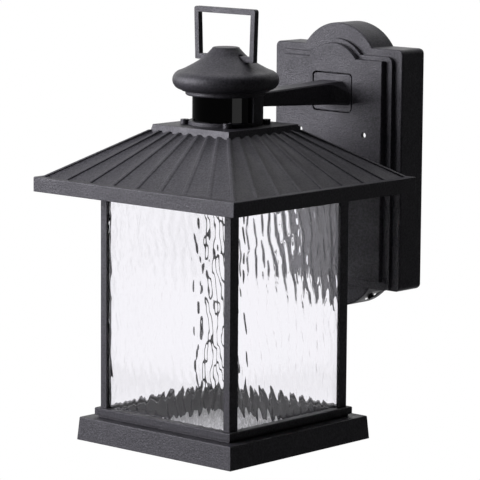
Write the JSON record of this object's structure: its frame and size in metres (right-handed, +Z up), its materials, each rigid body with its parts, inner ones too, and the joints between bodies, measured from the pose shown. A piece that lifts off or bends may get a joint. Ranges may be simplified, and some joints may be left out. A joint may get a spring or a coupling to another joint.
{
  "type": "outdoor wall lantern",
  "caption": "Square outdoor wall lantern with a ribbed hip roof, rippled glass panes, a motion sensor head, a swinging bail handle and an arched wall plate.",
  "frame": {"origin": "centre of the wall face, at the back of the gasket and at the height of the mounting holes", "axes": "+Y into the wall, so the lantern stands out towards -Y; +Z up; +X to the right when facing the wall"},
  "size_m": [0.22, 0.2785, 0.354],
  "materials": {
    "black_metal": "die-cast, sand-textured satin black paint",
    "glass": "clear rippled",
    "lens": "gloss black",
    "zinc": "zinc plated",
    "dark_screw": "black oxide",
    "gasket": "matt foam",
    "black_plastic": "matt black",
    "white_dots": "white",
    "board_green": "solder mask",
    "board_white": "white solder mask",
    "chip": "phosphor",
    "opal": "opal",
    "white_sheet": "satin white",
    "sink": "satin",
    "element": "satin",
    "cell": "clear coated",
    "case": "matt",
    "ground": "green",
    "lead_black": "satin",
    "lead_white": "satin",
    "lead_red": "satin"
  },
  "bodies": {
    "fixture": {"roof": "black_metal", "top_frame": "black_metal", "ceiling_plate": "white_sheet", "heat_sink": "sink", "terminal_block": "case", "led_board": "board_white", "led_chips": "chip", "diffuser": "opal", "post_front_left": "black_metal", "post_front_right": "black_metal", "post_rear_left": "black_metal", "post_rear_right": "black_metal", "glass_front": "glass", "glass_back": "glass", "glass_left": "glass", "glass_right": "glass", "base_frame": "black_metal", "base_floor": "white_sheet", "base_plinth": "black_metal", "arm": "black_metal", "sensor_lens": "lens", "sensor_board": "board_green", "motion_element": "element", "light_cell": "cell", "cap_collar": "black_metal", "cap": "black_metal", "backplate": "black_metal", "wall_gasket": "gasket", "driver_case": "case", "control_panel": "black_plastic", "panel_dots": "white_dots", "control_switch": "case", "lead_live": "lead_black", "lead_neutral": "lead_white", "lead_signal": "lead_red", "lug_screws": "dark_screw", "housing_screws": "dark_screw", "cap_screws": "zinc", "board_screws": "zinc", "arm_screws": "zinc", "post_screws": "zinc", "ceiling_screws": "zinc", "diffuser_screws": "zinc", "base_screws": "zinc", "driver_screws": "zinc", "ground_screw": "ground"},
    "bail": {"handle": "black_metal"},
    "knob": {"control_knob": "black_plastic"}
  },
  "joints": [
    {"name": "handle_swing", "type": "hinge", "parent": "fixture", "child": "bail", "pos_m": [0, -0.1685, 0.0706], "axis": [1, 0, 0], "range_deg": [-98, 98]},
    {"name": "knob_turn", "type": "hinge", "parent": "fixture", "child": "knob", "pos_m": [0.02746, -0.0145, -0.13965], "axis": [0.6101, 0, -0.7923], "range_deg": [-80, 80]}
  ]
}
